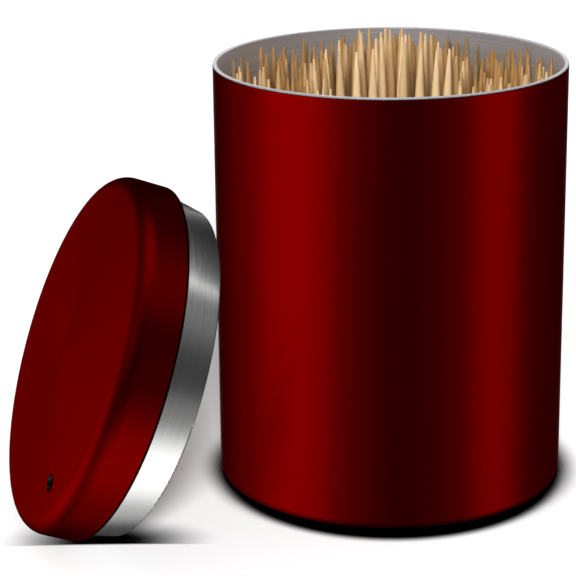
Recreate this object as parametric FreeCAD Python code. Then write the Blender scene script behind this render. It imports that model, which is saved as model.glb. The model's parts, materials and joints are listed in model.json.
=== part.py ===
import FreeCAD, Part
import math
import os
import random

# Table-top toothpick dispenser: a round double-walled canister full of toothpicks, and its
# plug lid, taken off and standing on its edge beside it. Millimetres, +Z up. The origin is
# the centre of the face that the canister stands on.

# ---- canister ------------------------------------------------------------------------
CANISTER_RADIUS = 27.5        # outside of the lacquered shell
CANISTER_HEIGHT = 67.0        # table to the top of the bare lip
SHELL_WALL = 0.3              # lacquered outer shell
SHELL_FLOOR = 0.6
SHELL_FOOT_FILLET = 1.3       # outside bottom edge
LINER_WALL = 0.35             # brushed steel inner cup
LINER_FLOOR = 0.5
LINER_FOOT_FILLET = 2.0       # bottom corner of the liner, on its outer face
LINER_GAP = 0.05              # between the shell and the liner, all round
LIP_THICKNESS = 0.3           # bare lip of the liner, turned out over the shell's edge
LIP_EDGE_RADIUS = 0.12        # outer edges of the lip
LIP_INNER_RADIUS = 0.22       # softened edge where the lip turns into the bore
RISE_HEIGHT = 4.5             # raised middle of the liner's floor
RISE_TOP_RADIUS = 4.5
RISE_FOOT_RADIUS = 13.0
RISE_TOP_FILLET = 4.0
RISE_FOOT_FILLET = 0.6

# ---- lid -----------------------------------------------------------------------------
CAP_HEIGHT = 8.4              # skirt edge to the middle of the cap's top
CAP_CROWN = 1.0               # how far the domed top rises above the skirt's upper end
CAP_WALL = 0.5
CROWN_FLAT = 1.2              # flat middle of the dome, by its radius
CAP_EDGE_FILLET = 2.6         # round between the skirt and the top
CAP_EDGE_ROUND = 0.12         # trimmed lower edge of the skirt
COLLAR_LENGTH = 5.8           # plug that hangs below the skirt
COLLAR_WALL = 0.5
COLLAR_CLEARANCE = 0.25       # plug to bore, on the radius, at the plug's root
COLLAR_TAPER = 1.2            # how far the plug draws in on the radius, to lead in
COLLAR_END_ROUND = 0.35       # rolled free end
COLLAR_STEP = 0.7             # height over which the collar widens to its seat
COLLAR_SEAT_HEIGHT = 1.6      # band of the collar that is pressed in the cap
COLLAR_SEAT_GAP = 0.03        # between that band and the cap
HOLE_RADIUS = 1.35            # dispensing hole in the top of the cap
HOLE_MARGIN = 6.3             # hole's centre to the outside of the skirt
HOLE_CLOCK = 39.0             # degrees from the lowest point of the standing lid, to the front

# ---- where the lid stands ------------------------------------------------------------
LID_BEARING = 16.6            # degrees that the lid's face is turned towards the front
LID_OUT = 42.3                # canister axis to the middle of the skirt's edge, to the left
LID_FORWARD = 21.9            # the same, to the front

# ---- toothpicks ----------------------------------------------------------------------
PICK_LENGTH = 64.0
PICK_RADIUS = 1.0
PICK_TAPER = 14.0             # length of each pointed end
PICK_POINT_RADIUS = 0.17      # blunt tip
PICK_PITCH = 2.65             # spacing of the standing toothpicks
PICK_CLEARANCE = 0.15         # least gap between two toothpicks
PICK_FLOOR_GAP = 0.25         # toothpick to the liner's floor
PICK_WALL_GAP = 0.5           # toothpick to the liner's wall
PICK_SHIFT = 0.7              # how far a foot stands off its place in the pattern
PICK_LEAN = 2.6               # how far a top stands off its foot
PICK_RIDE_UP = 1.3            # most that a wedged toothpick rides up between the others
PICK_TRIES = 30               # places tried for each toothpick before it is left out
PICK_SEED = 11
POCKET_HALF_WIDTH = 8.4       # space at the front from which toothpicks were taken
POCKET_BACK = -7.0            # its edge towards the middle
RING_WIDTH = 4.3              # standing toothpicks are grouped in rings of this width
WHOLE_RINGS = 2               # rings in the middle that aren't split in quarters
SINGLE_RIDE_UP = 1.7          # how far the upright toothpicks stand proud of their floor
SINGLE_PLACES = [             # upright toothpicks that can be drawn one at a time, in
    (-1.7, -0.45),            # pitches to the right of and behind the canister's axis
    (0.0, 0.25),
    (1.75, -0.4),
    (-5.0, 6.4),
    (5.0, 6.2),
]

# ---- sizes that follow ---------------------------------------------------------------
LINER_RADIUS = CANISTER_RADIUS - SHELL_WALL - LINER_GAP
BORE_RADIUS = LINER_RADIUS - LINER_WALL
LINER_BASE = SHELL_FLOOR + LINER_GAP
FLOOR_TOP = LINER_BASE + LINER_FLOOR
LIP_RADIUS = CANISTER_RADIUS - LINER_GAP
LIP_UNDERSIDE = CANISTER_HEIGHT - LIP_THICKNESS
SHELL_TOP = LIP_UNDERSIDE - LINER_GAP

CAP_RADIUS = CANISTER_RADIUS
CAP_BORE = CAP_RADIUS - CAP_WALL
CROWN_BEND = 0.5 * (CAP_RADIUS - CAP_EDGE_FILLET)
COLLAR_ROOT_RADIUS = BORE_RADIUS - COLLAR_CLEARANCE
COLLAR_END_RADIUS = COLLAR_ROOT_RADIUS - COLLAR_TAPER
COLLAR_SEAT_RADIUS = CAP_BORE - COLLAR_SEAT_GAP
PICK_REACH = BORE_RADIUS - PICK_WALL_GAP - PICK_RADIUS


def turned(corners):
    """A solid of revolution about Z. Each corner is (radius, height, fillet radius)."""
    points = [FreeCAD.Vector(radius, 0, height) for radius, height, _ in corners]
    starts = []
    ends = []
    for index, (_, _, fillet) in enumerate(corners):
        here = points[index]
        back = (points[index - 1] - here).normalize()
        ahead = (points[(index + 1) % len(points)] - here).normalize()
        half_angle = 0.5 * math.acos(max(-1.0, min(1.0, back.dot(ahead))))
        reach = fillet / math.tan(half_angle) if fillet else 0.0
        starts.append(here + back * reach)
        ends.append(here + ahead * reach)
    edges = []
    for index, (_, _, fillet) in enumerate(corners):
        if fillet:
            here = points[index]
            middle = (starts[index] + ends[index]) * 0.5
            inward = (middle - here).normalize()
            centre_distance = math.hypot((starts[index] - here).Length, fillet)
            on_arc = here + inward * (centre_distance - fillet)
            edges.append(Part.Arc(starts[index], on_arc, ends[index]).toShape())
        following = starts[(index + 1) % len(points)]
        if (following - ends[index]).Length > 1e-7:
            edges.append(Part.LineSegment(ends[index], following).toShape())
    face = Part.Face(Part.Wire(edges))
    return face.revolve(FreeCAD.Vector(0, 0, 0), FreeCAD.Vector(0, 0, 1), 360)


def outer_shell():
    """Lacquered drawn cup that carries the whole canister."""
    inside = CANISTER_RADIUS - SHELL_WALL
    return turned([
        (0, 0, 0),
        (CANISTER_RADIUS, 0, SHELL_FOOT_FILLET),
        (CANISTER_RADIUS, SHELL_TOP, 0),
        (inside, SHELL_TOP, 0),
        (inside, SHELL_FLOOR, SHELL_FOOT_FILLET - SHELL_WALL),
        (0, SHELL_FLOOR, 0),
    ])


def rise_corners(base):
    """The raised middle of the liner's floor, on the face that starts at this height."""
    return [
        (0, base + RISE_HEIGHT, 0),
        (RISE_TOP_RADIUS, base + RISE_HEIGHT, RISE_TOP_FILLET),
        (RISE_FOOT_RADIUS, base, RISE_FOOT_FILLET),
    ]


def rise_at(radius):
    """Height of the liner's floor above its flat ring, at this distance from the axis."""
    slope = (RISE_FOOT_RADIUS - radius) / (RISE_FOOT_RADIUS - RISE_TOP_RADIUS)
    return RISE_HEIGHT * max(0.0, min(1.0, slope))


def inner_liner():
    """Brushed steel cup with a raised floor, and a lip turned out over the shell."""
    below = rise_corners(LINER_BASE)
    above = rise_corners(FLOOR_TOP)
    return turned(below + [
        (LINER_RADIUS, LINER_BASE, LINER_FOOT_FILLET),
        (LINER_RADIUS, LIP_UNDERSIDE, 0),
        (LIP_RADIUS, LIP_UNDERSIDE, LIP_EDGE_RADIUS),
        (LIP_RADIUS, CANISTER_HEIGHT, LIP_EDGE_RADIUS),
        (BORE_RADIUS, CANISTER_HEIGHT, LIP_INNER_RADIUS),
        (BORE_RADIUS, FLOOR_TOP, LINER_FOOT_FILLET - LINER_WALL),
    ] + above[::-1])


def dome_corner(edge_radius, height):
    """Corner half way out on the cap's top, with so large a round that the top is a dome."""
    slope = math.atan2(CAP_CROWN, edge_radius - CROWN_BEND)
    return (CROWN_BEND, height, (CROWN_BEND - CROWN_FLAT) / math.tan(0.5 * slope))


def lid_cap():
    """Lacquered cap, drawn with a domed top and a round edge, with the dispensing hole."""
    rim = CAP_HEIGHT - CAP_CROWN
    cap = turned([
        (CAP_BORE, 0, CAP_EDGE_ROUND),
        (CAP_RADIUS, 0, CAP_EDGE_ROUND),
        (CAP_RADIUS, rim, CAP_EDGE_FILLET),
        dome_corner(CAP_RADIUS, CAP_HEIGHT),
        (0, CAP_HEIGHT, 0),
        (0, CAP_HEIGHT - CAP_WALL, 0),
        dome_corner(CAP_BORE, CAP_HEIGHT - CAP_WALL),
        (CAP_BORE, rim - CAP_WALL, CAP_EDGE_FILLET - CAP_WALL),
    ])
    drill = Part.makeCylinder(HOLE_RADIUS, CAP_HEIGHT, hole_place())
    return cap.cut(drill)


def hole_place():
    """Point of the hole's axis at the skirt's edge level, on the lid in its own frame."""
    out = CAP_RADIUS - HOLE_MARGIN
    clock = math.radians(HOLE_CLOCK)
    return FreeCAD.Vector(out * math.cos(clock), out * math.sin(clock), 0)


def lid_collar():
    """Brushed steel plug ring: a tapered plug, a step, and a band pressed in the cap."""
    seat_foot = COLLAR_STEP
    seat_top = COLLAR_STEP + COLLAR_SEAT_HEIGHT
    return turned([
        (COLLAR_END_RADIUS, -COLLAR_LENGTH, COLLAR_END_ROUND),
        (COLLAR_ROOT_RADIUS, 0, 0),
        (COLLAR_SEAT_RADIUS, seat_foot, 0),
        (COLLAR_SEAT_RADIUS, seat_top, 0),
        (COLLAR_SEAT_RADIUS - COLLAR_WALL, seat_top, 0),
        (COLLAR_SEAT_RADIUS - COLLAR_WALL, seat_foot, 0),
        (COLLAR_ROOT_RADIUS - COLLAR_WALL, 0, 0),
        (COLLAR_END_RADIUS - COLLAR_WALL, -COLLAR_LENGTH, 0),
    ])


def lid_tilt():
    """Angle at which the lid stands on the skirt's edge and the plug's end together."""
    step = CAP_RADIUS - CAP_EDGE_ROUND - COLLAR_END_RADIUS + COLLAR_END_ROUND
    length = COLLAR_LENGTH - COLLAR_END_ROUND + CAP_EDGE_ROUND
    rounds = COLLAR_END_ROUND - CAP_EDGE_ROUND
    return math.acos(rounds / math.hypot(step, length)) - math.atan2(length, step)


def lid_placement():
    """The lid's own frame (+Z out through its top, +X to its lowest point) on the table."""
    tilt = lid_tilt()
    bearing = math.radians(LID_BEARING)
    out = FreeCAD.Vector(-math.cos(bearing), -math.sin(bearing), 0)
    up = FreeCAD.Vector(0, 0, 1)
    axis = out * math.cos(tilt) + up * math.sin(tilt)
    down = out * math.sin(tilt) - up * math.cos(tilt)
    turn = FreeCAD.Rotation(down, axis.cross(down), axis)
    edge_centre = CAP_RADIUS - CAP_EDGE_ROUND
    lift = edge_centre * math.cos(tilt) - CAP_EDGE_ROUND * math.sin(tilt) + CAP_EDGE_ROUND
    return FreeCAD.Placement(FreeCAD.Vector(-LID_OUT, -LID_FORWARD, lift), turn)


def toothpick():
    """One round toothpick, pointed at both ends, standing on the origin."""
    return turned([
        (0, 0, 0),
        (PICK_POINT_RADIUS, 0, 0),
        (PICK_RADIUS, PICK_TAPER, 0),
        (PICK_RADIUS, PICK_LENGTH - PICK_TAPER, 0),
        (PICK_POINT_RADIUS, PICK_LENGTH, 0),
        (0, PICK_LENGTH, 0),
    ])


def least_spacing(low, high, other_low, other_high):
    """Least distance between the axes of two standing toothpicks, level by level."""
    start = (low[0] - other_low[0], low[1] - other_low[1])
    end = (high[0] - other_high[0], high[1] - other_high[1])
    run = (end[0] - start[0], end[1] - start[1])
    run_squared = run[0] ** 2 + run[1] ** 2
    share = 0.0
    if run_squared > 0:
        share = max(0.0, min(1.0, -(start[0] * run[0] + start[1] * run[1]) / run_squared))
    return math.hypot(start[0] + share * run[0], start[1] + share * run[1])


def in_pocket(point):
    """Whether a toothpick's axis here would reach into the space at the front."""
    beside = POCKET_HALF_WIDTH + PICK_RADIUS
    return abs(point[0]) < beside and point[1] < POCKET_BACK + PICK_RADIUS


def fits(low, high, standing):
    """Whether a toothpick from low to high clears the wall, the pocket and the others."""
    for point in (low, high):
        if math.hypot(*point) > PICK_REACH or in_pocket(point):
            return False
    spacing = 2 * PICK_RADIUS + PICK_CLEARANCE
    return all(least_spacing(low, high, *other[:2]) >= spacing for other in standing)


def pattern():
    """Places of a triangular pattern over the liner's floor, from the middle outwards.

    Each has a generator of its own, so a place is filled alike in any size of canister.
    """
    rows = int(BORE_RADIUS / PICK_PITCH) + 2
    places = []
    for row in range(-rows, rows + 1):
        for column in range(-rows, rows + 1):
            x = (column + 0.5 * (row % 2)) * PICK_PITCH
            y = row * PICK_PITCH * math.sqrt(3) / 2
            if math.hypot(x, y) < BORE_RADIUS:
                places.append(((x, y), random.Random(f"{PICK_SEED} {row} {column}")))
    return sorted(places, key=lambda place: math.hypot(*place[0]))


def around(point, most, chance):
    """A point within the distance most of another."""
    angle = chance.uniform(0, 2 * math.pi)
    distance = most * math.sqrt(chance.random())
    return (point[0] + distance * math.cos(angle), point[1] + distance * math.sin(angle))


def stand_toothpicks():
    """The upright, then the loose toothpicks, each with its point of the table's level,
    its point of the lip's level and how far it rides up off the floor."""
    standing = []
    for column, row in SINGLE_PLACES:
        place = (column * PICK_PITCH, row * PICK_PITCH)
        standing.append((place, place, SINGLE_RIDE_UP))
    for place, chance in pattern():
        ride_up = PICK_RIDE_UP * chance.random()
        for attempt in range(PICK_TRIES):
            slack = 1.0 - attempt / PICK_TRIES
            low = around(place, PICK_SHIFT * slack, chance)
            high = around(low, PICK_LEAN * slack, chance)
            if fits(low, high, standing):
                standing.append((low, high, ride_up))
                break
    return standing


def placed_toothpick(low, high, ride_up):
    """A toothpick along the line from low, at the table, to high, at the lip's level."""
    slope = FreeCAD.Vector(high[0] - low[0], high[1] - low[1], CANISTER_HEIGHT)
    height = FLOOR_TOP + rise_at(math.hypot(*low)) + PICK_FLOOR_GAP + ride_up
    foot = FreeCAD.Vector(low[0], low[1], 0) + slope * (height / CANISTER_HEIGHT)
    turn = FreeCAD.Rotation(FreeCAD.Vector(0, 0, 1), slope)
    pick = toothpick()
    pick.Placement = FreeCAD.Placement(foot, turn)
    return pick


def ring_name(low):
    """Node that a standing toothpick belongs to, by its distance and side."""
    ring = 1 + int(math.hypot(*low) / RING_WIDTH)
    if ring <= WHOLE_RINGS:
        return f"toothpicks_ring_{ring}"
    if abs(low[0]) > abs(low[1]):
        side = "right" if low[0] > 0 else "left"
    else:
        side = "back" if low[1] > 0 else "front"
    return f"toothpicks_ring_{ring}_{side}"


def toothpicks():
    """Every toothpick, as a dictionary of node names and lists of solids."""
    nodes = {}
    for index, (low, high, ride_up) in enumerate(stand_toothpicks()):
        if index < len(SINGLE_PLACES):
            name = f"toothpick_{index + 1}"
        else:
            name = ring_name(low)
        nodes.setdefault(name, []).append(placed_toothpick(low, high, ride_up))
    return nodes


def write_node(name, shape):
    shape.exportStep(f"parts/{name}.step")


def main():
    os.makedirs("parts", exist_ok=True)
    write_node("outer_shell", outer_shell())
    write_node("inner_liner", inner_liner())
    on_table = lid_placement()
    for name, shape in (("lid_cap", lid_cap()), ("lid_collar", lid_collar())):
        shape.Placement = on_table.multiply(shape.Placement)
        write_node(name, shape)
    count = 0
    for name, picks in toothpicks().items():
        count += len(picks)
        write_node(name, picks[0] if len(picks) == 1 else Part.makeCompound(picks))
    hole = on_table.multVec(hole_place())
    axis = on_table.Rotation.multVec(FreeCAD.Vector(0, 0, 1))
    print("toothpicks:", count)
    print("lid tilt:", round(math.degrees(lid_tilt()), 2), "degrees")
    print("hole axis:", hole, axis)


main()
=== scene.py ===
# %% [markdown]
# # A toothpick dispenser
# A round red canister stands open and full of toothpicks. Its lid has been pulled off and
# stands on its edge at the left. The turned metal parts arrive as a fixed, imported model, and
# this lesson gives them their finish, remodels the toothpicks and lights the scene. Loading
# comes first, because the sizes of the pieces are read from the model instead of being typed again.

# %% The fixed frame
import json
import math
import random

import bpy
from mathutils import Matrix, Vector

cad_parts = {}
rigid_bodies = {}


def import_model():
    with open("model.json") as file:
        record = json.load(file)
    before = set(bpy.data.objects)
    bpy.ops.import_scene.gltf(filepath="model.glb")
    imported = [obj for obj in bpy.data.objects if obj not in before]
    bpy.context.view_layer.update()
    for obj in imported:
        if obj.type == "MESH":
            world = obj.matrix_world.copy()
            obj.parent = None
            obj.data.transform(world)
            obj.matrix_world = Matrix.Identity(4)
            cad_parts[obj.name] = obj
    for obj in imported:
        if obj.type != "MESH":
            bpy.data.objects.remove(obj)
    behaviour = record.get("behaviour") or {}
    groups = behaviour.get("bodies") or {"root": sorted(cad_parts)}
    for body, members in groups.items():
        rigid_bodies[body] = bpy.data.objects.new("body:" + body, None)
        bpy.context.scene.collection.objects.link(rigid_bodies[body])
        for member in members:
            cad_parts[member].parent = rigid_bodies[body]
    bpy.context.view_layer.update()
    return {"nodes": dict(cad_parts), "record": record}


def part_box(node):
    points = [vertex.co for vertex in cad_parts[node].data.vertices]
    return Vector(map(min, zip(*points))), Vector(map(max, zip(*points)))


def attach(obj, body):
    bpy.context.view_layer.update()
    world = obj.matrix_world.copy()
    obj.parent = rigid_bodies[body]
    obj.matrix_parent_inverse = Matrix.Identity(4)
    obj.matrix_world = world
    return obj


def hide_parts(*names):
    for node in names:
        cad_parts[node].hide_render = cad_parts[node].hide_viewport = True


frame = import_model()
bpy.ops.object.select_all(action="DESELECT")

# %% [markdown]
# ## The canister's size
# All that stands on a lathe has an axis. The canister's is the Z axis, so half the width of
# its box is its radius, and the top of the inner cup is its height.

# %% Size of the canister
shell_low, shell_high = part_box("outer_shell")
_, liner_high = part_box("inner_liner")
CANISTER_RADIUS = (shell_high.x - shell_low.x) / 2
CANISTER_HEIGHT = liner_high.z
print("canister: radius", round(CANISTER_RADIUS, 5), "height", round(CANISTER_HEIGHT, 5))

# %% [markdown]
# ## The lid's own axis
# The lid leans, so its box says little. The dispensing hole was drilled along the lid's axis,
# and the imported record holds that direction. Two directions at right angles to it measure the
# cap's width, and the middle of that width lies on the axis whatever the lean.

# %% Axis and centre of the lid
hole = next(m for m in frame["record"]["mounts"] if m["name"] == "dispensing_hole")
LID_AXIS = Vector(hole["axis"]).normalized()
HOLE_PLACE = Vector(hole["pos_m"])
HOLE_RADIUS = hole["dims"]["r_mm"] / 1000


def middle_along(direction, points):
    reach = [direction.dot(point) for point in points]
    return direction * (min(reach) + max(reach)) / 2


cap_points = [vertex.co for vertex in frame["nodes"]["lid_cap"].data.vertices]
across = LID_AXIS.orthogonal().normalized()
upright = LID_AXIS.cross(across)
SKIRT_LEVEL = min(LID_AXIS.dot(point) for point in cap_points)
LID_CENTRE = middle_along(across, cap_points) + middle_along(upright, cap_points)
LID_CENTRE += LID_AXIS * SKIRT_LEVEL
LID_TURN = Matrix((across, upright, LID_AXIS)).transposed().to_euler()
print("lid axis", LID_AXIS, "middle of the skirt's edge", LID_CENTRE)

# %% [markdown]
# ## The camera
# A long lens from about five canister heights away looks down on the rim, so that the mouth
# shows as a narrow ellipse. Its distance sets how much the far side shrinks, and
# its focal length how large the object is. The camera leans sideways by less than a degree.

# %% Camera
CAMERA_SIDE = -0.590 * CANISTER_RADIUS
CAMERA_BACK = 12.0 * CANISTER_RADIUS
CAMERA_UP = 4.876 * CANISTER_RADIUS
LOOK_DOWN = 0.305
SIDE_LEAN = -0.012
IMAGE_SIZE = 576
FOCAL_LENGTH_IN_PIXELS = 2166
SENSOR_WIDTH = 36

camera_data = bpy.data.cameras.new("camera")
camera = bpy.data.objects.new("camera", camera_data)
bpy.context.collection.objects.link(camera)
camera.location = (CAMERA_SIDE, -CAMERA_BACK, CAMERA_UP)
look = Matrix.Rotation(math.pi / 2 - LOOK_DOWN, 3, "X") @ Matrix.Rotation(SIDE_LEAN, 3, "Z")
camera.rotation_euler = look.to_euler()
camera_data.sensor_width = SENSOR_WIDTH
camera_data.lens = camera_data.sensor_width * FOCAL_LENGTH_IN_PIXELS / IMAGE_SIZE
bpy.context.scene.camera = camera
bpy.context.scene.view_settings.view_transform = "Standard"
print("lens:", round(camera_data.lens, 1), "mm")

# %% [markdown]
# ## Building materials from nodes
# A material is a small network. Writing each node out by hand hides the idea behind the
# wiring, so small helpers do it. They add a node and fill its inputs, make a material and hand
# back its shader, link two sockets, do one sum, blend two colours or ease from 0 to 1. An input
# that is given another node's output is linked.

# %% Node helpers
def add_node(material, kind, values=None, **settings):
    """A new node. Values fill its inputs by name or number: a socket is linked."""
    node = material.node_tree.nodes.new(kind)
    for name, value in settings.items():
        setattr(node, name, value)
    for key, value in (values or {}).items():
        if isinstance(value, bpy.types.NodeSocket):
            material.node_tree.links.new(value, node.inputs[key])
        else:
            node.inputs[key].default_value = value
    return node


def new_material(name, values):
    """A material whose Principled shader has these inputs."""
    material = bpy.data.materials.new(name)
    material.use_nodes = True
    shader = material.node_tree.nodes["Principled BSDF"]
    for key, value in values.items():
        shader.inputs[key].default_value = value
    return material, shader


def plug(material, socket, shader, key):
    material.node_tree.links.new(socket, shader.inputs[key])


def calculate(material, operation, first, second=0.0, third=0.0):
    """The output of one Math node."""
    values = {0: first, 1: second, 2: third}
    return add_node(material, "ShaderNodeMath", values, operation=operation).outputs[0]


def blend_colours(material, share, first, second):
    """The output of one colour Mix node."""
    node = add_node(material, "ShaderNodeMix", data_type="RGBA")
    for key, value in ((0, share), (6, first), (7, second)):
        if isinstance(value, bpy.types.NodeSocket):
            material.node_tree.links.new(value, node.inputs[key])
        else:
            node.inputs[key].default_value = value
    return node.outputs[2]


def vector_math(material, operation, first, second=(0, 0, 0)):
    """The output of one Vector Math node: a number for a dot product, or else a vector."""
    node = add_node(material, "ShaderNodeVectorMath", {0: first, 1: second}, operation=operation)
    return node.outputs["Value" if operation == "DOT_PRODUCT" else "Vector"]


def between(material, value, low, high):
    """Maps 0 to 1 onto low to high."""
    values = {"Value": value, "To Min": low, "To Max": high}
    return add_node(material, "ShaderNodeMapRange", values).outputs[0]


def smooth_rise(material, value, low, high):
    """Eases from 0 where the value is low to 1 where it is high."""
    values = {"Value": value, "From Min": low, "From Max": high}
    node = add_node(material, "ShaderNodeMapRange", values, interpolation_type="SMOOTHSTEP")
    return node.outputs[0]


print("node helpers ready")

# %% [markdown]
# ## Coordinates on the lathe
# Turned and brushed metal is marked in rings round its axis. Object coordinates serve the
# canister, whose axis is Z. A Mapping node turns them into the lid's own directions, so that
# one recipe does for both. The ring position is height plus distance from the axis: on a wall
# only the height changes, and on a floor only the distance, so the rings follow both.

# %% Lathe coordinates and brush marks
RING_MARKS_PER_METRE = 2600.0
DRIFT_PER_METRE = 45.0


def lathe_coordinates(material, centre=(0, 0, 0), turn=(0, 0, 0)):
    """Coordinates whose Z is the piece's axis, from its centre."""
    place = add_node(material, "ShaderNodeTexCoord").outputs["Object"]
    values = {"Vector": place, "Location": centre, "Rotation": turn}
    mapping = add_node(material, "ShaderNodeMapping", values, vector_type="TEXTURE")
    return mapping.outputs["Vector"]


def split(material, vector):
    return add_node(material, "ShaderNodeSeparateXYZ", {0: vector}).outputs


def axis_distance(material, x, y):
    squares = calculate(material, "ADD", calculate(material, "MULTIPLY", x, x),
                        calculate(material, "MULTIPLY", y, y))
    return calculate(material, "SQRT", squares)


def brush_marks(material, coordinates, fineness=1.0):
    """Fine rings round the axis, from 0 to 1, that drift slowly on their way round."""
    x, y, z = split(material, coordinates)
    ring = calculate(material, "ADD", z, axis_distance(material, x, y))
    stretched = add_node(material, "ShaderNodeCombineXYZ", {
        "X": calculate(material, "MULTIPLY", x, DRIFT_PER_METRE),
        "Y": calculate(material, "MULTIPLY", y, DRIFT_PER_METRE),
        "Z": calculate(material, "MULTIPLY", ring, RING_MARKS_PER_METRE * fineness),
    })
    values = {"Vector": stretched.outputs[0], "Scale": 1.0, "Detail": 3.0, "Roughness": 0.6}
    return add_node(material, "ShaderNodeTexNoise", values).outputs[0]


print("rings:", RING_MARKS_PER_METRE, "to the metre")

# %% [markdown]
# ## Which way the metal is brushed
# Brushing makes a highlight spread across the marks and stay narrow along them. That is why
# a brushed can shows upright streaks of light. The shader's Anisotropic value does this, and
# its Tangent says the direction: here it runs round the axis.

# %% Tangent round the axis
def tangent_round(material, centre, axis):
    """Unit vector round the axis, in the object's own directions."""
    place = add_node(material, "ShaderNodeTexCoord").outputs["Object"]
    swing = vector_math(material, "CROSS_PRODUCT", axis, vector_math(material, "SUBTRACT", place, centre))
    unit = vector_math(material, "NORMALIZE", swing)
    turn = add_node(material, "ShaderNodeVectorTransform", {0: unit},
                    vector_type="VECTOR", convert_from="OBJECT", convert_to="WORLD")
    return turn.outputs[0]


print("tangent helper ready")

# %% [markdown]
# ## Red lacquer over brushed steel
# The outside is a transparent red lacquer on brushed steel. It has no white gloss: all its
# light comes back red, deeper at a flat angle, where the light crosses more lacquer. So the
# shader is fully metallic with a red base, and a dark red Specular Tint deepens its edges.
# The steel's rings show through faintly, in the colour, the roughness and the bump.

# %% Red lacquer
LACQUER_DARK = (0.225, 0.0, 0.0003, 1)
LACQUER_LIGHT = (0.270, 0.0, 0.0006, 1)
BARE_STEEL = (0.62, 0.60, 0.59, 1)
PAINTED_EDGE_SHADE = (0.010, 0.0, 0.0, 1)
LACQUER_TINT = (0.32, 0.02, 0.02, 1)
LACQUER_ROUGHNESS = (0.36, 0.46)
LACQUER_SPREAD = 0.80
QUARTER_TURN = 0.25
MARKS_SHARE = 0.6
CLOUD_SHARE = 0.4


def red_lacquer(name, centre, axis, turn):
    """The lacquer on one turned piece: its material, shader, colour and height on the axis."""
    material, shader = new_material(name, {
        "Metallic": 1.0,
        "Specular Tint": LACQUER_TINT,
        "Anisotropic": LACQUER_SPREAD,
        "Anisotropic Rotation": QUARTER_TURN,
    })
    coordinates = lathe_coordinates(material, centre, turn)
    marks = brush_marks(material, coordinates)
    cloud_values = {"Vector": coordinates, "Scale": 70.0, "Detail": 2.0}
    cloud = add_node(material, "ShaderNodeTexNoise", cloud_values).outputs[0]
    clouded = calculate(material, "MULTIPLY", cloud, CLOUD_SHARE)
    tone = calculate(material, "MULTIPLY_ADD", marks, MARKS_SHARE, clouded)
    colour = blend_colours(material, tone, LACQUER_DARK, LACQUER_LIGHT)
    plug(material, between(material, marks, *LACQUER_ROUGHNESS), shader, "Roughness")
    bump_values = {"Height": marks, "Strength": 0.05, "Distance": 0.00005}
    bump = add_node(material, "ShaderNodeBump", bump_values)
    plug(material, bump.outputs[0], shader, "Normal")
    plug(material, tangent_round(material, centre, axis), shader, "Tangent")
    height = split(material, coordinates)[2]
    return material, shader, colour, height


canister_red, shader, colour, _ = red_lacquer("canister_lacquer", (0, 0, 0), (0, 0, 1), (0, 0, 0))
plug(canister_red, colour, shader, "Base Color")
print("made", canister_red.name)

# %% [markdown]
# ## The cap's trimmed edge and its inside
# The cap was lacquered first and trimmed after, so its lower edge is a bare bright line. Just
# above it a dark line is painted into the lacquer: painted shade, for the dark that the rounded
# edge and the gap below it show. Both follow from the height along the lid's axis, which the
# recipe above hands back. The inside is painted near-black: painted shade, which keeps the hole
# and the inside dark, as if no light reached them. A surface belongs to the inside if it looks
# towards the axis or down along it, or lies on the hole's wall.

# %% Lacquer of the cap
BARE_EDGE_HEIGHT = 0.00010
PAINTED_EDGE_SHADE_HEIGHT = 0.00040
# Painted shade: a near-black colour for the inside of the lid.
PAINTED_SHADE_INSIDE = (0.028, 0.026, 0.026, 1)
LOOKS_INWARD = -0.05
HOLE_WALL_MARGIN = 0.00002
CAP_SPREAD = 0.45


def looks_at_axis(material):
    """1 where a piece of the lid looks towards the lid's axis, and 0 elsewhere."""
    coordinates = add_node(material, "ShaderNodeTexCoord").outputs
    away = vector_math(material, "SUBTRACT", coordinates["Object"], LID_CENTRE)
    aside = vector_math(material, "CROSS_PRODUCT", LID_AXIS, away)
    arm = vector_math(material, "CROSS_PRODUCT", aside, LID_AXIS)
    likeness = vector_math(material, "DOT_PRODUCT", coordinates["Normal"], arm)
    return calculate(material, "LESS_THAN", likeness, LOOKS_INWARD * CANISTER_RADIUS)


def inside_of_cap(material):
    """1 on the inside of the cap and on the wall of its hole, and 0 elsewhere."""
    coordinates = add_node(material, "ShaderNodeTexCoord").outputs
    likeness = vector_math(material, "DOT_PRODUCT", coordinates["Normal"], LID_AXIS)
    downward = calculate(material, "LESS_THAN", likeness, LOOKS_INWARD)
    away = vector_math(material, "SUBTRACT", coordinates["Object"], HOLE_PLACE)
    off_hole = vector_math(material, "CROSS_PRODUCT", LID_AXIS, away)
    squared = vector_math(material, "DOT_PRODUCT", off_hole, off_hole)
    from_hole = calculate(material, "SQRT", squared)
    in_hole = calculate(material, "LESS_THAN", from_hole, HOLE_RADIUS + HOLE_WALL_MARGIN)
    either = calculate(material, "MAXIMUM", looks_at_axis(material), downward)
    return calculate(material, "MAXIMUM", either, in_hole)


cap_red, shader, colour, height = red_lacquer("cap_lacquer", LID_CENTRE, LID_AXIS, LID_TURN)
# Painted shade: a dark line of lacquer just above the bare edge.
above_edge_shade = calculate(cap_red, "GREATER_THAN", height, PAINTED_EDGE_SHADE_HEIGHT)
above_bare = calculate(cap_red, "GREATER_THAN", height, BARE_EDGE_HEIGHT)
# Painted shade: the inside and the hole's wall are near-black.
with_inside_shade = blend_colours(cap_red, inside_of_cap(cap_red), colour, PAINTED_SHADE_INSIDE)
with_edge_shade = blend_colours(cap_red, above_edge_shade, PAINTED_EDGE_SHADE, with_inside_shade)
plug(cap_red, blend_colours(cap_red, above_bare, BARE_STEEL, with_edge_shade), shader, "Base Color")
shader.inputs["Anisotropic"].default_value = CAP_SPREAD
print("made", cap_red.name)
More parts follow.
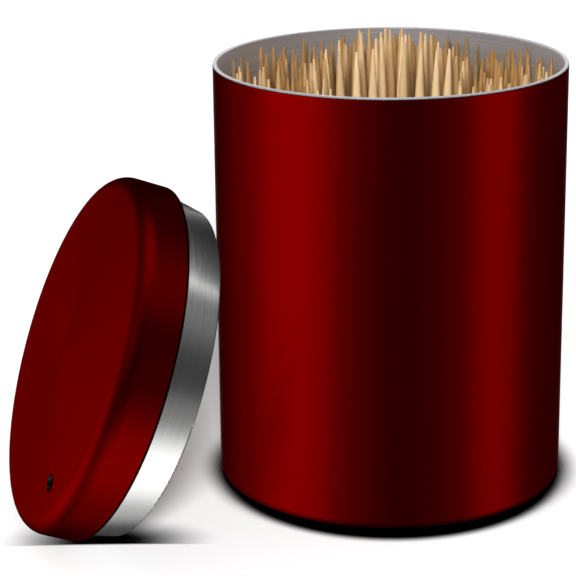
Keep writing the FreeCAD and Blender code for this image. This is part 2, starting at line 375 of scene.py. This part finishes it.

# %% [markdown]
# ## Brushed steel
# The inner cup and the lid's plug ring are bare stainless steel, brushed round the axis. The
# rings vary its brightness and its roughness. The cup is brushed more coarsely, and a share of
# it isn't mirror-like at all, because the brush leaves tiny torn edges that scatter light, so
# its Metallic stays under one. The ring has a finer brush, so its light spreads less, and its
# inner face is painted near-black like the cap's inside: painted shade.

# %% Brushed steel
CUP_DARK = (0.49, 0.485, 0.515, 1)
CUP_LIGHT = (0.75, 0.745, 0.775, 1)
RING_DARK = (0.78, 0.775, 0.77, 1)
RING_LIGHT = (0.92, 0.915, 0.91, 1)
STEEL_CONTRAST = (-0.35, 1.35)


def brushed_steel(name, colours, metallic, spread, fineness, roughness):
    """Steel of one turned piece: its material, and the recipe that turns it on an axis."""
    material, shader = new_material(name, {
        "Metallic": metallic,
        "Anisotropic": spread,
        "Anisotropic Rotation": QUARTER_TURN,
    })

    def turn_on(centre, axis, turn, shaded_inside=0.0):
        marks = brush_marks(material, lathe_coordinates(material, centre, turn), fineness)
        contrast = between(material, marks, *STEEL_CONTRAST)
        bare = blend_colours(material, contrast, *colours)
        # Painted shade replaces the steel on the inner face, where asked.
        colour = blend_colours(material, shaded_inside, bare, PAINTED_SHADE_INSIDE)
        plug(material, colour, shader, "Base Color")
        plug(material, between(material, marks, *roughness), shader, "Roughness")
        bump_values = {"Height": marks, "Strength": 0.12, "Distance": 0.00005}
        bump = add_node(material, "ShaderNodeBump", bump_values)
        plug(material, bump.outputs[0], shader, "Normal")
        plug(material, tangent_round(material, centre, axis), shader, "Tangent")

    return material, turn_on


cup_steel, turn_cup = brushed_steel("cup_steel", (CUP_DARK, CUP_LIGHT), metallic=0.65, spread=0.75,
                                    fineness=0.7, roughness=(0.30, 0.48))
turn_cup((0, 0, 0), (0, 0, 1), (0, 0, 0))
ring_steel, turn_ring = brushed_steel("ring_steel", (RING_DARK, RING_LIGHT), metallic=1.0, spread=0.3,
                                      fineness=1.6, roughness=(0.20, 0.32))
turn_ring(LID_CENTRE, LID_AXIS, LID_TURN, looks_at_axis(ring_steel))
print("made", cup_steel.name, "and", ring_steel.name)

# %% [markdown]
# ## Dressing the turned parts
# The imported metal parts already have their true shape, edge rounds included. They only take
# their new material, in the slot of the old one. The canister and its lid stand so near each
# other that each would mirror the other as a dark patch. A photographer hides that with a
# card between them, and here the two are simply left out of mirrored rays. The inner cup stays
# in them.

# %% Materials of the metal parts
FINISHES = {
    "outer_shell": canister_red,
    "lid_cap": cap_red,
    "inner_liner": cup_steel,
    "lid_collar": ring_steel,
}
for name, material in FINISHES.items():
    mesh = frame["nodes"][name].data
    mesh.materials.clear()
    mesh.materials.append(material)
    frame["nodes"][name].visible_glossy = name == "inner_liner"
    print(name, "takes", material.name)

# %% [markdown]
# ## Bamboo
# The toothpicks are round sticks of bare bamboo. Each has a tone of its own, from straw over
# light brown to a dull olive, and fibres that run along it. The tone comes from an attribute
# that is stored on the mesh, one value to a stick. Part of it is painted shade: sticks at the
# sides and the back get browner and duller, as sticks in shade look. The fibres are noise,
# squeezed across the stick and stretched along it: the sticks stand nearly upright, so the Z
# axis serves them all.

# %% Bamboo material
STRAW = (0.94, 0.73, 0.44, 1)
LIGHT_BROWN = (0.38, 0.185, 0.055, 1)
OLIVE_TONE_AND_SHADE = (0.21, 0.155, 0.09, 1)
FIBRE_SHADE = (0.64, 0.37, 0.13, 1)
FIBRES_PER_METRE = 5200.0
FIBRE_STRETCH = 0.035
FIBRE_SHARES = (-0.35, 0.75)
BAMBOO_ROUGHNESS = (0.5, 0.75)

bamboo, shader = new_material("bamboo", {"Specular IOR Level": 0.35})
place = add_node(bamboo, "ShaderNodeTexCoord").outputs["Object"]
squeezed = add_node(bamboo, "ShaderNodeMapping", {"Vector": place, "Scale": (1, 1, FIBRE_STRETCH)})
fibre_values = {"Vector": squeezed.outputs[0], "Scale": FIBRES_PER_METRE, "Detail": 2.0}
fibres = add_node(bamboo, "ShaderNodeTexNoise", fibre_values).outputs[0]
tone = add_node(bamboo, "ShaderNodeAttribute", attribute_name="tone").outputs["Fac"]
browned = calculate(bamboo, "MINIMUM", calculate(bamboo, "MULTIPLY", tone, 2.0), 1.0)
# The dull olive end is reached mostly by the sticks at the back, and there it is painted shade.
olive_and_shade_share = calculate(bamboo, "MAXIMUM", calculate(bamboo, "MULTIPLY_ADD", tone, 2.0, -1.0), 0.0)
brown = blend_colours(bamboo, browned, STRAW, LIGHT_BROWN)
plain = blend_colours(bamboo, olive_and_shade_share, brown, OLIVE_TONE_AND_SHADE)
fibre_share = between(bamboo, fibres, *FIBRE_SHARES)
plug(bamboo, blend_colours(bamboo, fibre_share, plain, FIBRE_SHADE), shader, "Base Color")
plug(bamboo, between(bamboo, fibres, *BAMBOO_ROUGHNESS), shader, "Roughness")
bump_values = {"Height": fibres, "Strength": 0.25, "Distance": 0.00004}
bump = add_node(bamboo, "ShaderNodeBump", bump_values)
plug(bamboo, bump.outputs[0], shader, "Normal")
print("made", bamboo.name)

# %% [markdown]
# ## Where each toothpick stands
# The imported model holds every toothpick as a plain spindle, many to a node. Merging the loose
# triangles of a copy and separating it into loose parts gives one object to a stick. The
# points of its lowest and of its highest slice then give the two ends of its axis.

# %% Ends of the toothpicks
MERGE_DISTANCE = 1e-6
END_SLICE = 0.00005


def use_alone(item):
    """Selects one object and makes it active, as a click does."""
    bpy.ops.object.select_all(action="DESELECT")
    item.select_set(True)
    bpy.context.view_layer.objects.active = item


def mean_point(points):
    return sum(points, Vector()) / len(points)


def stick_ends(part):
    points = [vertex.co for vertex in part.data.vertices]
    low = min(point.z for point in points)
    high = max(point.z for point in points)
    foot = mean_point([point for point in points if point.z < low + END_SLICE])
    head = mean_point([point for point in points if point.z > high - END_SLICE])
    return foot, head


def toothpick_axes(node):
    """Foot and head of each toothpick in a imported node, from left to right."""
    copy = bpy.data.objects.new("measured", node.data.copy())
    bpy.context.collection.objects.link(copy)
    use_alone(copy)
    bpy.ops.object.mode_set(mode="EDIT")
    bpy.ops.mesh.select_all(action="SELECT")
    bpy.ops.mesh.remove_doubles(threshold=MERGE_DISTANCE)
    bpy.ops.mesh.separate(type="LOOSE")
    bpy.ops.object.mode_set(mode="OBJECT")
    parts = list(bpy.context.selected_objects)
    axes = sorted((stick_ends(part) for part in parts), key=lambda ends: tuple(ends[0]))
    bpy.ops.object.delete()
    return axes


pick_nodes = sorted(name for name in frame["nodes"] if name.startswith("toothpick"))
AXES = {name: toothpick_axes(frame["nodes"][name]) for name in pick_nodes}
print("toothpicks:", sum(len(axes) for axes in AXES.values()), "in", len(AXES), "nodes")

# %% [markdown]
# ## One toothpick
# A toothpick is turned from a round stick and pointed at both ends with a slightly swelling
# curve, not a straight cone. It is modelled once: a short-sided cylinder is the stick, and
# each end face is extruded and shrunk three times towards the blunt point. About two hundred
# copies follow, so eight sides are enough, and smooth shading rounds them.

# %% Model of one toothpick
STICK_SIDES = 8
POINT_STEPS = (0.45, 0.80, 1.0)
POINT_CURVE = 1.5
POINT_SHARE = 0.17
SMOOTH_ANGLE = math.radians(50)
UPRIGHT_NODE = "toothpick_2"
FULL_WIDTH = 0.99
STRAIGHT_ON = 0.99

upright_points = [vertex.co for vertex in frame["nodes"][UPRIGHT_NODE].data.vertices]
upright_foot, upright_head = AXES[UPRIGHT_NODE][0]
STICK_LENGTH = upright_head.z - upright_foot.z
off_axis = [((point - upright_foot).xy.length, point.z) for point in upright_points]
STICK_RADIUS = max(radius for radius, _ in off_axis)
shoulder = max(z for radius, z in off_axis if radius > FULL_WIDTH * STICK_RADIUS)
POINT_LENGTH = upright_head.z - shoulder
print("stick:", round(STICK_LENGTH, 4), "long,", round(STICK_RADIUS, 5), "radius,",
      round(POINT_LENGTH, 4), "point")


def select_end_face(mesh, direction):
    """Selects the one face that looks up (1) or down (-1), in edit mode."""
    bpy.ops.mesh.select_all(action="DESELECT")
    bpy.ops.object.mode_set(mode="OBJECT")
    for face in mesh.polygons:
        face.select = face.normal.z * direction > STRAIGHT_ON
    bpy.ops.object.mode_set(mode="EDIT")


def point_radius(share):
    """Radius at this share of the point's length: it swells outwards like a bullet."""
    return STICK_RADIUS * (1 - (1 - POINT_SHARE) * share ** POINT_CURVE)


def draw_point(mesh, direction, level):
    """Extrudes and shrinks the end face that starts at this level."""
    share = 0.0
    radius = STICK_RADIUS
    for next_share in POINT_STEPS:
        step = direction * POINT_LENGTH * (next_share - share)
        level += step
        bpy.ops.mesh.extrude_region_move(TRANSFORM_OT_translate={"value": (0, 0, step)})
        shrink = point_radius(next_share) / radius
        bpy.ops.transform.resize(value=(shrink, shrink, 1), center_override=(0, 0, level))
        share = next_share
        radius = point_radius(share)


# %% The toothpick takes shape
bpy.ops.object.select_all(action="DESELECT")
straight = STICK_LENGTH - 2 * POINT_LENGTH
bpy.ops.mesh.primitive_cylinder_add(vertices=STICK_SIDES, radius=STICK_RADIUS, depth=straight,
                                    location=(0, 0, STICK_LENGTH / 2))
stick = bpy.context.object
stick.name = "one_toothpick"
bpy.ops.object.transform_apply(location=True)
bpy.ops.object.mode_set(mode="EDIT")
for direction in (1, -1):
    select_end_face(stick.data, direction)
    draw_point(stick.data, direction, STICK_LENGTH / 2 + direction * straight / 2)
bpy.ops.mesh.select_all(action="SELECT")
bpy.ops.mesh.normals_make_consistent(inside=False)
bpy.ops.object.mode_set(mode="OBJECT")
bpy.ops.object.shade_smooth_by_angle(angle=SMOOTH_ANGLE)
stick.data.materials.append(bamboo)
print("one toothpick:", len(stick.data.polygons), "faces")

# %% [markdown]
# ## About two hundred toothpicks
# Each copy gets its own mesh, which is spun about its axis, leaned and moved to its place.
# Its tone is drawn from a seeded generator, so each run gives the same load. On top of that
# random tone, the sticks at the sides and the back are painted browner: painted shade, so the
# palest stand in the middle of the front. The copies of one imported node are joined, stand in
# for that node and ride on its body.

# %% Standing the toothpicks in the canister
TONE_SEED = 5
TONE_SPREAD_IN_THE_MIDDLE = 0.20
TONE_SPREAD_AT_THE_SIDES = 0.60
PAINTED_SHADE_AT_THE_SIDES = 0.14
PAINTED_SHADE_AT_THE_BACK = 0.50
PALE_HALF_WIDTH = 0.0065
BACK_STARTS = 0.25
tones = random.Random(TONE_SEED)
BODY_OF = {node: body for body, nodes in frame["record"]["behaviour"]["bodies"].items()
           for node in nodes}


def stand_toothpick(foot, head):
    """One copy of the toothpick, from its foot to its head."""
    mesh = stick.data.copy()
    lean = (head - foot).to_track_quat("Z", "Y").to_matrix().to_4x4()
    spin = Matrix.Rotation(tones.uniform(0, math.tau), 4, "Z")
    mesh.transform(Matrix.Translation(foot) @ lean @ spin)
    attribute = mesh.attributes.new("tone", "FLOAT", "POINT")
    # Painted shade: the tone grows browner towards the back and the sides.
    back = min(max(foot.y / CANISTER_RADIUS + BACK_STARTS, 0), 1)
    side = min(max(abs(foot.x) / PALE_HALF_WIDTH - 1, 0), 1)
    spread = TONE_SPREAD_IN_THE_MIDDLE * (1 - side) + TONE_SPREAD_AT_THE_SIDES * side
    value = spread * tones.random() ** 2 + PAINTED_SHADE_AT_THE_SIDES * side + PAINTED_SHADE_AT_THE_BACK * back
    attribute.data.foreach_set("value", [value] * len(mesh.vertices))
    copy = bpy.data.objects.new("toothpick", mesh)
    bpy.context.collection.objects.link(copy)
    return copy


for node_name, axes in AXES.items():
    copies = [stand_toothpick(foot, head) for foot, head in axes]
    use_alone(copies[0])
    for copy in copies:
        copy.select_set(True)
    if len(copies) > 1:
        bpy.ops.object.join()
    load = bpy.context.object
    load.name = node_name.replace("toothpick", "bamboo_pick")
    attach(load, BODY_OF[node_name])
    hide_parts(node_name)

use_alone(stick)
bpy.ops.object.delete()
print("toothpicks stand in", len(AXES), "groups")

# %% [markdown]
# ## The white table
# The object stands on a plain white table in front of a white wall. The table is one large
# plane with a faint grain, and it is lit up to white. Metal doesn't mirror it: what the metal
# needs of a table is drawn for it further down.

# %% Table
TABLE_SIZE = 40.0
GRAINS_PER_METRE = 900.0
TABLE_SHADES = ((0.93, 0.93, 0.93, 1), (0.97, 0.97, 0.97, 1))

bpy.ops.object.select_all(action="DESELECT")
bpy.ops.mesh.primitive_plane_add(size=TABLE_SIZE)
table = bpy.context.object
table.name = "table"
white_table, table_shader = new_material("white_table", {"Roughness": 0.9, "Specular IOR Level": 0.0})
place = add_node(white_table, "ShaderNodeTexCoord").outputs["Object"]
grain_values = {"Vector": place, "Scale": GRAINS_PER_METRE}
grain = add_node(white_table, "ShaderNodeTexNoise", grain_values).outputs[0]
white = blend_colours(white_table, grain, *TABLE_SHADES)
table.data.materials.append(white_table)
table.visible_glossy = False
print("table:", TABLE_SIZE, "metres")

# %% [markdown]
# ## Contact shadows
# Where the canister comes near the table, little light gets in between the two, so the table is
# nearly black there. A lamp that lights the table white would wash this narrow shadow out, so
# the Ambient Occlusion node draws it: it feels how much of the near surroundings is blocked.
# The canister's shadow is drawn once more as a dark disc that peeps out in front of its foot,
# and it ends at the left of the canister, where the lid stands. The lid's shadow is thin and
# soft. A second node with a longer reach draws it, inside an oval under the lid and up to a
# straight front edge. When the lid is lifted it fades, but for a faint smear: the longer reach
# also feels the canister.

# %% Contact shadows
OPENNESS_SAMPLES = 16
CANISTER_REACH = 0.0065
CANISTER_SHADOW = (0.50, 0.90)
DISC_FORWARD = 0.0045
DISC_EDGE = (-0.0022, 0.0002)
LEFT_END = (-0.0365, -0.0335)
LID_REACH = 0.030
LID_SHADOW = (0.76, 0.99)
OVAL_MIDDLE = (-0.0440, -0.0300)
OVAL_HALF_SIZE = (0.0180, 0.0095)
OVAL_CORE = 0.25
FRONT_EDGE = (-0.0316, -0.0309)


def table_math(operation, first, second):
    return calculate(white_table, operation, first, second)


def openness(reach):
    """How open the surroundings of the table are within this reach, from 0 to 1."""
    node = add_node(white_table, "ShaderNodeAmbientOcclusion", {"Distance": reach},
                    samples=OPENNESS_SAMPLES)
    return node.outputs["AO"]


x, y, _ = split(white_table, place)
off_centre = axis_distance(white_table, x, table_math("ADD", y, DISC_FORWARD))
disc_low, disc_high = (CANISTER_RADIUS + edge for edge in DISC_EDGE)
lit = smooth_rise(white_table, openness(CANISTER_REACH), *CANISTER_SHADOW)
lit = table_math("MULTIPLY", lit, smooth_rise(white_table, off_centre, disc_low, disc_high))
beside_lid = table_math("SUBTRACT", 1.0, smooth_rise(white_table, x, *LEFT_END))
lit = table_math("MAXIMUM", lit, beside_lid)

sideways, forwards = (
    table_math("DIVIDE", table_math("SUBTRACT", value, middle), half_size)
    for value, middle, half_size in zip((x, y), OVAL_MIDDLE, OVAL_HALF_SIZE))
off_oval = smooth_rise(white_table, axis_distance(white_table, sideways, forwards), OVAL_CORE, 1.0)
lit_at_lid = smooth_rise(white_table, openness(LID_REACH), *LID_SHADOW)
lit_at_lid = table_math("MAXIMUM", lit_at_lid, off_oval)
in_front = table_math("SUBTRACT", 1.0, smooth_rise(white_table, y, *FRONT_EDGE))
lit_at_lid = table_math("MAXIMUM", lit_at_lid, in_front)
lit = table_math("MULTIPLY", lit, lit_at_lid)
plug(white_table, blend_colours(white_table, lit, (0, 0, 0, 1), white), table_shader, "Base Color")
print("contact shadows: reach", CANISTER_REACH, "and", LID_REACH)

# %% [markdown]
# ## The white room
# The world is the wall and the ceiling. Seen by the camera, by metal and by glass it has a
# strength of one, which is white. It lights nothing: what the ceiling throws on matt surfaces
# comes from a lamp of its own below, which can be linked to the pieces that it is meant for.

# %% World
world = bpy.data.worlds.new("white_room")
bpy.context.scene.world = world
world.use_nodes = True
background = world.node_tree.nodes["Background"]
rays = add_node(world, "ShaderNodeLightPath").outputs
seen = calculate(world, "ADD", rays["Is Camera Ray"], rays["Is Glossy Ray"])
seen = calculate(world, "ADD", seen, rays["Is Transmission Ray"])
world.node_tree.links.new(calculate(world, "MINIMUM", seen, 1.0), background.inputs["Strength"])
background.inputs["Color"].default_value = (1, 1, 1, 1)
print("made", world.name)

# %% [markdown]
# ## Lamps for the matt surfaces
# A lamp behind the camera lights the table. From there its long shadows fall behind the pieces
# that throw them. It is linked to the table alone, or it would bleach the toothpicks. Their own
# light comes from the upper left of the camera. The third lamp is the white ceiling: a sun whose
# disc fills the whole sky. It lights the table and the toothpicks. The last two also light the
# inner cup, whose steel is partly matt. No lamp lights the lacquer or the ring, and no metal
# mirrors a lamp: what metal mirrors comes below.

# %% Lamps
def direction_to(azimuth, elevation):
    """Unit vector to this azimuth (0 is the camera's side, 90 the right) and elevation."""
    side = math.radians(azimuth)
    rise = math.radians(elevation)
    return Vector((math.sin(side) * math.cos(rise), -math.cos(side) * math.cos(rise), math.sin(rise)))


def shine_only_on(light, receivers):
    """Links a light to these objects. The others get nothing of it."""
    group = bpy.data.collections.new("lit by " + light.name)
    for item in receivers:
        group.objects.link(item)
    light.light_linking.receiver_collection = group


def sun_lamp(name, azimuth, elevation, strength, softness):
    lamp_data = bpy.data.lights.new(name, "SUN")
    lamp_data.energy = strength
    lamp_data.angle = math.radians(softness)
    lamp = bpy.data.objects.new(name, lamp_data)
    bpy.context.collection.objects.link(lamp)
    lamp.rotation_euler = direction_to(azimuth, elevation).to_track_quat("Z", "Y").to_euler()
    lamp.visible_glossy = False
    return lamp


loads = [item for item in bpy.data.objects if item.name.startswith("bamboo_pick")]
open_cup = loads + [frame["nodes"]["inner_liner"]]
table_lamp = sun_lamp("table_lamp", azimuth=-3, elevation=20, strength=7.2, softness=15)
load_lamp = sun_lamp("load_lamp", azimuth=-16, elevation=36, strength=3.0, softness=20)
ceiling_lamp = sun_lamp("ceiling_lamp", azimuth=0, elevation=90, strength=1.4, softness=180)
shine_only_on(table_lamp, [table])
shine_only_on(load_lamp, open_cup)
shine_only_on(ceiling_lamp, open_cup + [table])

# %% [markdown]
# ## A light tent for the metal
# Metal shows what stands round it, so it is lit by what it mirrors. Product photographers
# build a tent of dark cloth and shine soft lights through it. This tent is a closed drum that
# only mirrored rays see, so it throws no light on the table and stays out of the picture.

# %% Dark tent
TENT_RADIUS = 0.45
TENT_LOW = -0.60
TENT_HIGH = 0.75
TENT_GLOW = 0.05
TENT_SIDES = 96


def show_in_mirrors_only(item):
    item.visible_camera = False
    item.visible_diffuse = False
    item.visible_shadow = False
    item.visible_transmission = False


def drum(name, radius):
    """A closed drum round the object that only mirrored rays see. The narrower, the lower."""
    low = TENT_LOW * radius / TENT_RADIUS
    high = TENT_HIGH * radius / TENT_RADIUS
    bpy.ops.object.select_all(action="DESELECT")
    bpy.ops.mesh.primitive_cylinder_add(vertices=TENT_SIDES, radius=radius, depth=high - low,
                                        location=(0, 0, (high + low) / 2))
    item = bpy.context.object
    item.name = name
    bpy.ops.object.transform_apply(location=True)
    show_in_mirrors_only(item)
    return item


def glow_material(name, glow):
    """A material that only glows: the material, its emission node and its output node."""
    material = bpy.data.materials.new(name)
    material.use_nodes = True
    material.node_tree.nodes.clear()
    emission = add_node(material, "ShaderNodeEmission", {"Strength": glow})
    output = add_node(material, "ShaderNodeOutputMaterial")
    material.node_tree.links.new(emission.outputs[0], output.inputs["Surface"])
    return material, emission, output


tent = drum("dark_tent", TENT_RADIUS)
tent.data.materials.append(glow_material("tent_cloth", TENT_GLOW)[0])
print("tent:", TENT_RADIUS, "radius, glow", TENT_GLOW)

# %% [markdown]
# ## Black cards under the feet
# The lowest edge of a shiny piece mirrors the dark contact shadow that it stands in. The table
# isn't mirrored here, so two black cards lie in its place, one under the canister and one under
# the lid. They are black in the middle and fade to nothing at their rims.

# %% Black cards
CARD_LEVEL = -0.0001
CARD_CORE = 0.75
CARD_SIDES = 64
CANISTER_CARD = 1.12 * CANISTER_RADIUS
LID_CARD_WIDTH = 0.42 * CANISTER_RADIUS
LID_CARD_DEPTH = 0.36 * CANISTER_RADIUS


def black_card(name, centre, half_width, half_depth):
    """A soft black disc on the table that only mirrored rays see."""
    bpy.ops.object.select_all(action="DESELECT")
    bpy.ops.mesh.primitive_circle_add(vertices=CARD_SIDES, radius=1, fill_type="NGON")
    card = bpy.context.object
    card.name = name
    card.scale = (half_width, half_depth, 1)
    card.location = (centre[0], centre[1], CARD_LEVEL)
    material, emission, output = glow_material(name + "_cloth", 0.0)
    x, y, _ = split(material, add_node(material, "ShaderNodeTexCoord").outputs["Object"])
    fade = smooth_rise(material, axis_distance(material, x, y), CARD_CORE, 1.0)
    clear = add_node(material, "ShaderNodeBsdfTransparent").outputs[0]
    values = {0: fade, 1: emission.outputs[0], 2: clear}
    plug(material, add_node(material, "ShaderNodeMixShader", values).outputs[0], output, "Surface")
    card.data.materials.append(material)
    show_in_mirrors_only(card)


down_the_lid = (LID_AXIS * LID_AXIS.z - Vector((0, 0, 1))).normalized()
lid_foot = LID_CENTRE + down_the_lid * CANISTER_RADIUS
black_card("canister_card", (0, 0), CANISTER_CARD, CANISTER_CARD)
black_card("lid_card", lid_foot, LID_CARD_WIDTH, LID_CARD_DEPTH)
print("cards lie under the canister and under the lid, round", lid_foot)

# %% [markdown]
# ## Sheets of light
# Inside the tent hang sheets that are clear but add light where a soft patch is drawn on them.
# A patch has an azimuth, an elevation, a half width in degrees and a strength. A patch without
# an elevation is a stripe from the floor's edge up. Each sheet is linked to the pieces that it
# is made for: the canister gets upright streaks, strongest at the left, the right and the back,
# the cap a bright patch at the far left, a pale table in front and a ceiling, the ring a
# brighter table and one small strong lamp high at the right, and the cup a bright wall behind.
# Each sheet is a little narrower than the one before, so that no two lie in one place.

# %% Sheets of light
STREAKS = (
    (-67, None, 34, 0.80),
    (-80, None, 85, 0.42),
    (10, None, 70, 0.045),
    (69, None, 22, 0.70),
    (68, None, 60, 0.17),
    (140, None, 35, 0.14),
    (180, None, 24, 0.90),
)
LID_PATCHES = (
    (-118, -12, 50, 1.00),
    (-90, -20, 35, 0.40),
    (-30, -42, 32, 0.45),
    (-20, -20, 26, 0.40),
    (-52, 38, 25, 0.40),
    (30, -25, 20, 0.60),
    (20, -48, 32, 1.00),
    (42, 5, 25, 0.17),
    (70, 45, 25, 0.42),
    (0, 88, 35, 0.80),
    (0, -88, 30, 0.58),
)
RING_PATCHES = (
    (20, -48, 32, 0.93),
    (70, -55, 30, 1.05),
    (0, -88, 30, 0.55),
    (58, -25, 18, 0.22),
    (80, 18, 16, 0.09),
    (70, 45, 25, 0.30),
    (115, 50, 25, 3.00),
)
CUP_PATCHES = (
    (180, 35, 70, 0.90),
    (0, 70, 60, 0.18),
)
FLOOR_EDGE = (-0.75, -0.45)


def soft_patch(material, facing, flat, patch):
    """The glow of one patch: strongest in its middle and nothing outside its half width."""
    azimuth, elevation, half_width, strength = patch
    towards = direction_to(azimuth, elevation or 0)
    seen_along = flat if elevation is None else facing
    likeness = vector_math(material, "DOT_PRODUCT", seen_along, towards)
    spot = smooth_rise(material, likeness, math.cos(math.radians(half_width)), 1.0)
    if elevation is None:
        off_floor = smooth_rise(material, split(material, facing)[2], *FLOOR_EDGE)
        spot = calculate(material, "MULTIPLY", spot, off_floor)
    return calculate(material, "MULTIPLY", spot, strength)


def light_sheet(name, radius, centre, patches, receiver):
    """A clear drum that adds the patches to what this node mirrors."""
    material, emission, output = glow_material(name, 0.0)
    place = add_node(material, "ShaderNodeTexCoord").outputs["Object"]
    arm = vector_math(material, "SUBTRACT", place, centre)
    facing = vector_math(material, "NORMALIZE", arm)
    flat = vector_math(material, "NORMALIZE", vector_math(material, "MULTIPLY", arm, (1, 1, 0)))
    glow = 0.0
    for patch in patches:
        glow = calculate(material, "ADD", soft_patch(material, facing, flat, patch), glow)
    plug(material, glow, emission, "Strength")
    clear = add_node(material, "ShaderNodeBsdfTransparent")
    both = add_node(material, "ShaderNodeAddShader", {0: emission.outputs[0], 1: clear.outputs[0]})
    plug(material, both.outputs[0], output, "Surface")
    sheet = drum(name, radius)
    sheet.data.materials.append(material)
    shine_only_on(sheet, [frame["nodes"][receiver]])


SHEETS = (
    ("canister_light", 0.44, (0, 0, 0), STREAKS, "outer_shell"),
    ("lid_light", 0.43, LID_CENTRE, LID_PATCHES, "lid_cap"),
    ("ring_light", 0.42, LID_CENTRE, RING_PATCHES, "lid_collar"),
    ("cup_light", 0.41, (0, 0, CANISTER_HEIGHT), CUP_PATCHES, "inner_liner"),
)
for sheet in SHEETS:
    light_sheet(*sheet)
print(len(SHEETS), "sheets of light hang in the tent")
